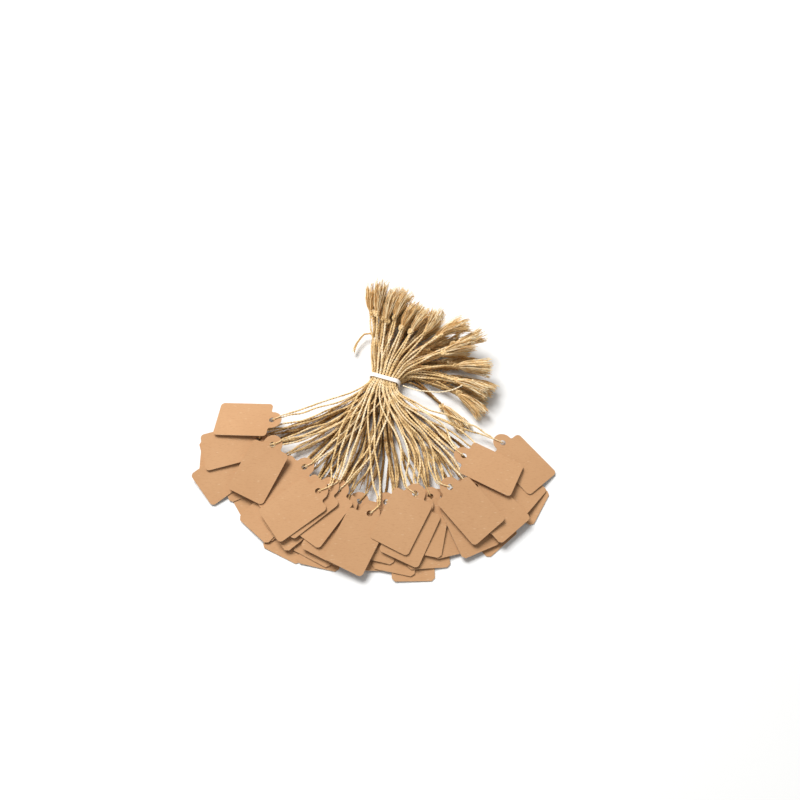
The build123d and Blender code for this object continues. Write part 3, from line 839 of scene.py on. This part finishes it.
def hairTree():
    # bent hairs that stand off the twine at a low angle, none below the table
    tree, given = newTree("strayHairs", {
        "Float": ("Every", "Length", "Radius", "Least Lean", "Most Lean"), "Int": ("Seed",),
    })
    spots = addNode(tree, "GeometryNodeCurveToPoints", {"mode": "LENGTH"}, {
        "Curve": given["Geometry"], "Length": given["Every"],
    })
    tip = addNode(tree, "ShaderNodeCombineXYZ", None, {"X": given["Length"]}).outputs["Vector"]
    bent = workedVector(tree, "MULTIPLY_ADD", tip, (0.5, 0.5, 0.5), (0.0, 0.0, hairs["bow"]))
    hair = addNode(tree, "GeometryNodeCurveQuadraticBezier", None, {
        "Resolution": hairs["steps"], "Start": (0, 0, 0), "Middle": bent, "End": tip,
    })
    least = addNode(tree, "ShaderNodeCombineXYZ", None, {"Y": given["Least Lean"]}).outputs["Vector"]
    most = addNode(tree, "ShaderNodeCombineXYZ", None, {"X": 2 * math.pi, "Y": given["Most Lean"]})
    placed = addNode(tree, "GeometryNodeInstanceOnPoints", None, {
        "Points": spots.outputs["Points"],
        "Instance": tubed(tree, hair.outputs["Curve"], hairs["sides"], given["Radius"], {}),
        "Rotation": randomTurn(tree, "X", spots.outputs["Tangent"], least, most.outputs["Vector"], given["Seed"]),
        "Scale": randomNumber(tree, *hairs["sizes"], {"Seed": given["Seed"]}),
    })
    return closeTree(tree, given, keptAbove(tree, realized(tree, placed.outputs["Instances"]), hairs["offTable"]))


hairsTree = hairTree()


def hairyMesh(name, lines, look, seed):
    # hairs along lines; a run needs two points
    return grown(polyCurve(name, [line for line in lines if len(line) > 1]), hairsTree, {
        "Every": look["every"], "Length": look["length"], "Radius": look["radius"],
        "Least Lean": look["lean"][0], "Most Lean": look["lean"][1], "Seed": seed, "Material": frayMaterial,
    })


hairLines, shedLines = [], []
lowLines = 2 * twine["doubledRows"] * twine["columns"]
for order, line in enumerate(legLines):
    middle = len(line) // 2
    for leg in (line[:middle], line[middle:]):
        fan = [point for point in leg if point.xy.dot(front) > hairs["bandClear"]]
        tail = [point for point in leg if point.xy.dot(front) < -hairs["bandClear"]]
        hairLines += [[point for point in fan if (point - line[middle]).length > hairs["clear"]], tail]
        # shed fibres on the lower rows of the fan and the right of the tail: real fuzz, and painted shade in the
        # shaded gaps there
        if order < lowLines:
            inFan = [point for point in fan if point.xy.dot(front) > shedFuzzAndShade["from"]]
            shedLines.append([point for point in inFan if point.xy.length < shedFuzzAndShade["until"]])
        right = [point for point in tail if point.xy.dot(bandAxis) > shedFuzzAndShade["tailSide"]]
        shedLines.append([point for point in right if point.xy.dot(front) < shedFuzzAndShade["tailFrom"]])
addPiece("strayHairs", hairyMesh("hairLines", hairLines, hairs, 3), "bundle")
addPiece("shedFibres", hairyMesh("shedLines", shedLines, shedFuzzAndShade, 8), "bundle")
print("stray hairs grown")

# floor and soft studio light
studio = {
    "paper": "#EBEBEA", "roughness": 0.9, "specular": 0.1, "floorHalf": 3.0, "floorDrop": 0.0001,
    "sky": 0.34, "wall": 0.9, "wallTop": (0.10, 0.45), "key": 71.0, "keySize": 1.2, "keyPlace": (-0.80, 0.95, 1.95),
}
floorMesh = bpy.data.meshes.new("floor")
half = studio["floorHalf"]
floorMesh.from_pydata([(-half, -half, 0), (half, -half, 0), (half, half, 0), (-half, half, 0)], [], [(0, 1, 2, 3)])
floor = bpy.data.objects.new("floor", floorMesh)
scene.collection.objects.link(floor)
floor.location.z = -studio["floorDrop"]
paper, _, paperShader = newMaterial("whitePaperSweep", studio)
paperShader.inputs["Base Color"].default_value = linear(studio["paper"])
floorMesh.materials.append(paper)

world = bpy.data.worlds.new("softRoom")
world.use_nodes = True
room = world.node_tree
# pale walls round the table, dimmer overhead, so that the key light models the twine
direction = addNode(room, "ShaderNodeTexCoord").outputs["Generated"]
upward = addNode(room, "ShaderNodeSeparateXYZ", None, {"Vector": direction}).outputs["Z"]
glow = ranged(room, upward, studio["wallTop"], (studio["wall"], studio["sky"]), "SMOOTHSTEP")
backdrop = room.nodes["Background"]
backdrop.inputs["Color"].default_value = (1, 1, 1, 1)
room.links.new(glow, backdrop.inputs["Strength"])
scene.world = world
lamp = bpy.data.lights.new("keySoftbox", "AREA")
lamp.energy = studio["key"]
lamp.size = studio["keySize"]
key = bpy.data.objects.new("keySoftbox", lamp)
scene.collection.objects.link(key)
key.location = studio["keyPlace"]
key.rotation_euler = (-key.location).to_track_quat("-Z", "Y").to_euler()
print("floor and light set")

# the CAD cards and band keep their shape and get their finish
for name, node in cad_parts.items():
    if "tag" in name:
        node.data.materials.clear()
        node.data.materials.append(cardMaterial)
    elif name == "tie_band":
        node.data.materials.clear()
        node.data.materials.append(bandMaterial)
